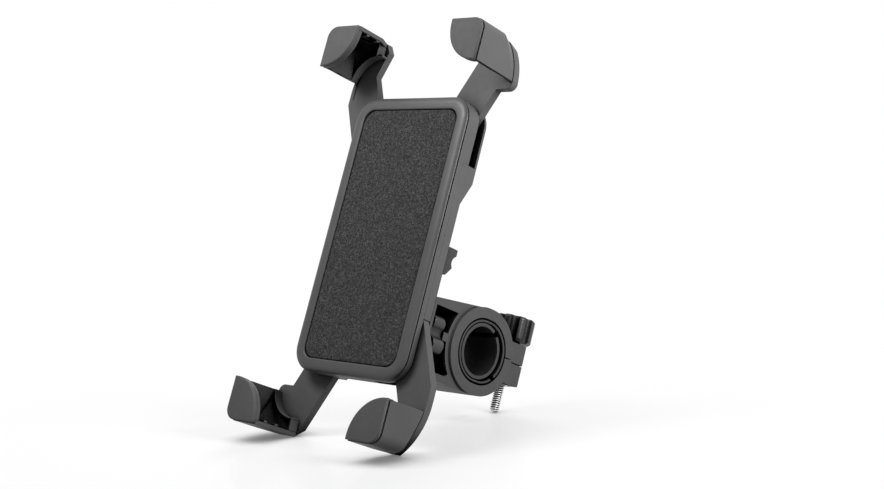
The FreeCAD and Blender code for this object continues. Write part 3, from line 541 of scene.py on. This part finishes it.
def claw(corner):
    """Claw shell: walls, a lip, a seat for the phone's corner and ribs."""
    layer, side = LAYER_OF[corner], SIDES[corner]
    arm_front = ARM_FRONT[layer]
    # Offsets of hundredths keep the faces of overlapping solids out of one plane.
    cx, cz = CLAW_X - SEAT_IN, CLAW_Z - SEAT_DOWN
    low_angle = math.degrees(math.asin((CLAW_LOW + 0.02 - cz) / SEAT_R))
    high_angle = math.degrees(math.acos((CLAW_LEFT + 0.02 - cx) / SEAT_R))
    seat = arc_points(cx, cz, SEAT_R, low_angle, high_angle, SEAT_STEPS)
    seat += arc_points(cx, cz, SEAT_R + SEAT_T, high_angle, low_angle, SEAT_STEPS)
    seat_front = arm_front - SEAT_H
    end = CLAW_LEFT + END_CUT[layer]
    end_wall = block(end + 0.03, end + SEAT_T, cz + SEAT_R + 0.1, CLAW_Z - CLAW_WALL / 2)
    lip = lip_outline(LIP_INTO_GRIP)
    solids = [
        prism(side, claw_walls(layer)),
        prism(side, [(lip, LIP_FRONT + 0.01), (lip, LIP_BACK)]),
        prism(side, [(seat, seat_front), (seat, arm_front - 0.02)]),
        prism(side, [(end_wall, seat_front - END_WALL_AHEAD), (end_wall, arm_front - 0.03)]),
    ]
    low, high = CLAW_Z - CLAW_WALL - RIB_INTO_WALL, CLAW_Z - CLAW_WALL / 2
    foot = block(CLAW_LEFT + 0.04, CLAW_LEFT + RIB_IN, low, high)
    crown = block(CLAW_LEFT + 0.04, CLAW_LEFT + CROWN_IN, low, high)
    for k in (0, 1):
        y = LIP_BACK + RIB_FIRST + RIB_PITCH * k
        rib = [(crown, y), (foot, y + RIB_SLOPE), (foot, y + RIB_T - RIB_SLOPE), (crown, y + RIB_T)]
        solids.append(prism(side, rib))
    shell = new_piece("claw_" + corner + "_shell", joined(solids), "claw_" + corner)
    return rounded(shell, CLAW_EDGE)


def claw_grip(corner):
    """Rubber face of a lip with a softened rim, its neck and the button behind the lip."""
    side = SIDES[corner]
    back = LIP_TIP + GRIP_T
    # Each pair is the inset from the lip's outline and the depth behind its tip.
    face = [(0.9, 0.01), (0.5, 0.05), (0.22, 0.16), (0.05, 0.34), (0.0, 0.55), (0.0, GRIP_T - 0.2)]
    levels = [(lip_outline(inset), LIP_TIP + depth) for inset, depth in face]
    neck = lip_outline(NECK_INSET, GRIP_DEEP)
    levels += [(lip_outline(NECK_INSET, 0.1), back), (neck, back), (neck, LIP_FRONT)]
    plug, head, head_top = [
        arc_points(*PLUG_AT, r, 0, 360, PLUG_STEPS)[:-1]
        for r in (PLUG_R, PLUG_HEAD_R, PLUG_HEAD_R - HEAD_CHAMFER)
    ]
    button = [(plug, LIP_FRONT - PLUG_NECK), (plug, LIP_BACK)]
    button += [(head, LIP_BACK), (head, LIP_BACK + HEAD_SIDE), (head_top, LIP_BACK + HEAD_T)]
    bm = joined([prism(side, levels), prism(side, button)])
    return new_piece("claw_grip_" + corner + "_rubber", bm, "claw_grip_" + corner)


def clamp_screw():
    """Thumb screw with a helical thread and a chamfered tip."""
    around, per_pitch = 36, 8
    run_out, tip_chamfer, flank_slope = 1.5, 0.4, 6.0
    root = SCREW_R - THREAD_DEPTH
    turns = [i / around for i in range(around)]

    def ring(radii, z):
        angles = [2 * math.pi * turn for turn in turns]
        return [world(r * math.cos(a), SCREW_Y + r * math.sin(a), z) for r, a in zip(radii, angles)]

    rings = []
    for row in range(int(THREADED / THREAD_PITCH * per_pitch) + 1):
        z = row * THREAD_PITCH / per_pitch
        fade = min((THREADED - z) / run_out, 1.0)
        radii = []
        for turn in turns:
            phase = (z / THREAD_PITCH - turn) % 1.0
            height = min(max(2.0 - abs(phase - 0.5) * flank_slope, 0.0), 1.0)
            r = root + THREAD_DEPTH * (1.0 - fade * (1.0 - height))
            radii.append(min(r, root - tip_chamfer + z))
        rings.append(ring(radii, SCREW_TIP + z))
    rings.append(ring([SCREW_R] * around, EAR_TOP + KNOB_H - 3.0))
    return new_piece("clamp_screw_threaded", swept(rings, False), "clamp_screw")


phone_pad()
front_bezel()
for name, width in MOULDED_EDGE.items():
    moulded(name, width)
clamp_screw()
for corner in corners:
    moulded("arm_" + corner, ARM_EDGE)
    claw(corner)
    claw_grip(corner)

# ---- stage: floor, light and camera, in metres and watts ----
FLOOR_Z = cad_box[0][2]
BELOW_OBJECT = 0.00005
SHADOW_CENTRE, SHADOW_FADES, SHADOW_GONE = (0.0, -0.05, FLOOR_Z), 0.1, 0.22
FILL = 0.2


def glow(tree, strength):
    node = tree.nodes.new("ShaderNodeEmission")
    node.inputs["Color"].default_value = (1.0, 1.0, 1.0, 1.0)
    node.inputs["Strength"].default_value = strength
    return node.outputs["Emission"]


def background(tree, strength):
    node = tree.nodes.new("ShaderNodeBackground")
    node.inputs["Color"].default_value = (1.0, 1.0, 1.0, 1.0)
    node.inputs["Strength"].default_value = strength
    return node.outputs["Background"]


def matte(tree, grey):
    node = tree.nodes.new("ShaderNodeBsdfDiffuse")
    node.inputs["Color"].default_value = (grey, grey, grey, 1.0)
    return node.outputs["BSDF"]


def polish(tree, grey, rough):
    node = tree.nodes.new("ShaderNodeBsdfGlossy")
    node.inputs["Color"].default_value = (grey, grey, grey, 1.0)
    node.inputs["Roughness"].default_value = rough
    return node.outputs["BSDF"]


def added_shader(tree, first, second):
    node = tree.nodes.new("ShaderNodeAddShader")
    tree.links.new(first, node.inputs[0])
    tree.links.new(second, node.inputs[1])
    return node.outputs["Shader"]


def mixed_shader(tree, fac, first, second):
    mix = tree.nodes.new("ShaderNodeMixShader")
    tree.links.new(fac, mix.inputs["Fac"])
    tree.links.new(first, mix.inputs[1])
    tree.links.new(second, mix.inputs[2])
    return mix.outputs["Shader"]


def seen_directly(tree):
    """One for rays from the camera and for those that a mirror or glass passes on."""
    path = tree.nodes.new("ShaderNodeLightPath")
    total = path.outputs["Is Camera Ray"]
    for ray in ("Is Glossy Ray", "Is Transmission Ray"):
        node = tree.nodes.new("ShaderNodeMath")
        node.operation = "MAXIMUM"
        tree.links.new(total, node.inputs[0])
        tree.links.new(path.outputs[ray], node.inputs[1])
        total = node.outputs["Value"]
    return total


def white_near_object(tree, bounce, shadow, mirror, lit):
    """Floor: a grey that lights the object from below, and white to direct rays.

    Near the object that white is less a shadow and a faint reflection, and it is darkened by a
    painted contact shadow where the object stands close above it.
    """
    base = glow(tree, 1.0 - mirror - lit * shadow)
    both = added_shader(tree, matte(tree, shadow), base)
    both = added_shader(tree, both, polish(tree, mirror, rough=0.12))
    # painted contact shadow: darkens the floor in the gaps under the object
    painted_contact_shadow = painted_shade(tree, reach=0.014, closed=0.25, full=0.82, floor=0.3)
    near = mixed_shader(tree, painted_contact_shadow, glow(tree, 0.0), both)
    where = tree.nodes.new("ShaderNodeNewGeometry")
    away = tree.nodes.new("ShaderNodeVectorMath")
    away.operation = "DISTANCE"
    away.inputs[1].default_value = SHADOW_CENTRE
    tree.links.new(where.outputs["Position"], away.inputs[0])
    fade = spread(tree, away.outputs["Value"], SHADOW_FADES, SHADOW_GONE, 0.0, 1.0)
    direct = mixed_shader(tree, fade, near, glow(tree, 1.0))
    return mixed_shader(tree, seen_directly(tree), matte(tree, bounce), direct)


def floor():
    bm = bmesh.new()
    bmesh.ops.create_grid(bm, x_segments=2, y_segments=2, size=4.0)
    plane = placed("floor", mesh_from("floor", bm))
    plane.location.z = FLOOR_Z - BELOW_OBJECT
    material, tree = tree_of("studio floor")
    out = tree.nodes.new("ShaderNodeOutputMaterial")
    white = white_near_object(tree, bounce=0.35, shadow=0.2, mirror=0.03, lit=1.9)
    tree.links.new(white, out.inputs["Surface"])
    plane.data.materials.append(material)


def backdrop():
    """White to rays that see it directly, and a low even fill to the rest."""
    world_data = bpy.data.worlds.new("studio")
    bpy.context.scene.world = world_data
    world_data.use_nodes = True
    tree = world_data.node_tree
    tree.nodes.clear()
    out = tree.nodes.new("ShaderNodeOutputWorld")
    both = mixed_shader(tree, seen_directly(tree), background(tree, FILL), background(tree, 1.0))
    tree.links.new(both, out.inputs["Surface"])


def soft_light(name, place, target, size, watts, highlights=True):
    data = bpy.data.lights.new(name, "AREA")
    data.shape = "RECTANGLE"
    data.size, data.size_y = size
    data.energy = watts
    lamp = placed(name, data)
    lamp.location = place
    aim = Vector(target) - Vector(place)
    lamp.rotation_euler = aim.to_track_quat("-Z", "Y").to_euler()
    lamp.visible_glossy = highlights


def camera():
    """Camera at the photograph's viewing angle, as fitted to it."""
    data = bpy.data.cameras.new("view")
    data.sensor_width = 36.0
    data.lens = 68.234
    data.clip_start = 0.01
    data.clip_end = 20.0
    eye = placed("view", data)
    right = Vector((0.727334, 0.686111, -0.015361))
    up = Vector((-0.042018, 0.066861, 0.996877))
    turn = Matrix((right, up, right.cross(up))).transposed().to_4x4()
    eye.matrix_world = Matrix.Translation((0.510412, -0.551276, 0.105812)) @ turn
    bpy.context.scene.camera = eye


floor()
backdrop()
soft_light("key in front above", place=(-0.12, -0.25, 0.36), target=(0.0, -0.02, 0.12),
           size=(0.2, 0.15), watts=1.75)
soft_light("key right", place=(0.36, 0.02, 0.23), target=(0.03, 0.0, 0.15),
           size=(0.2, 0.2), watts=2.4)
soft_light("back left", place=(-0.42, 0.42, 0.32), target=(0.0, 0.0, 0.1),
           size=(0.4, 0.4), watts=7.0, highlights=False)
camera()

bpy.context.scene.view_settings.view_transform = "Standard"
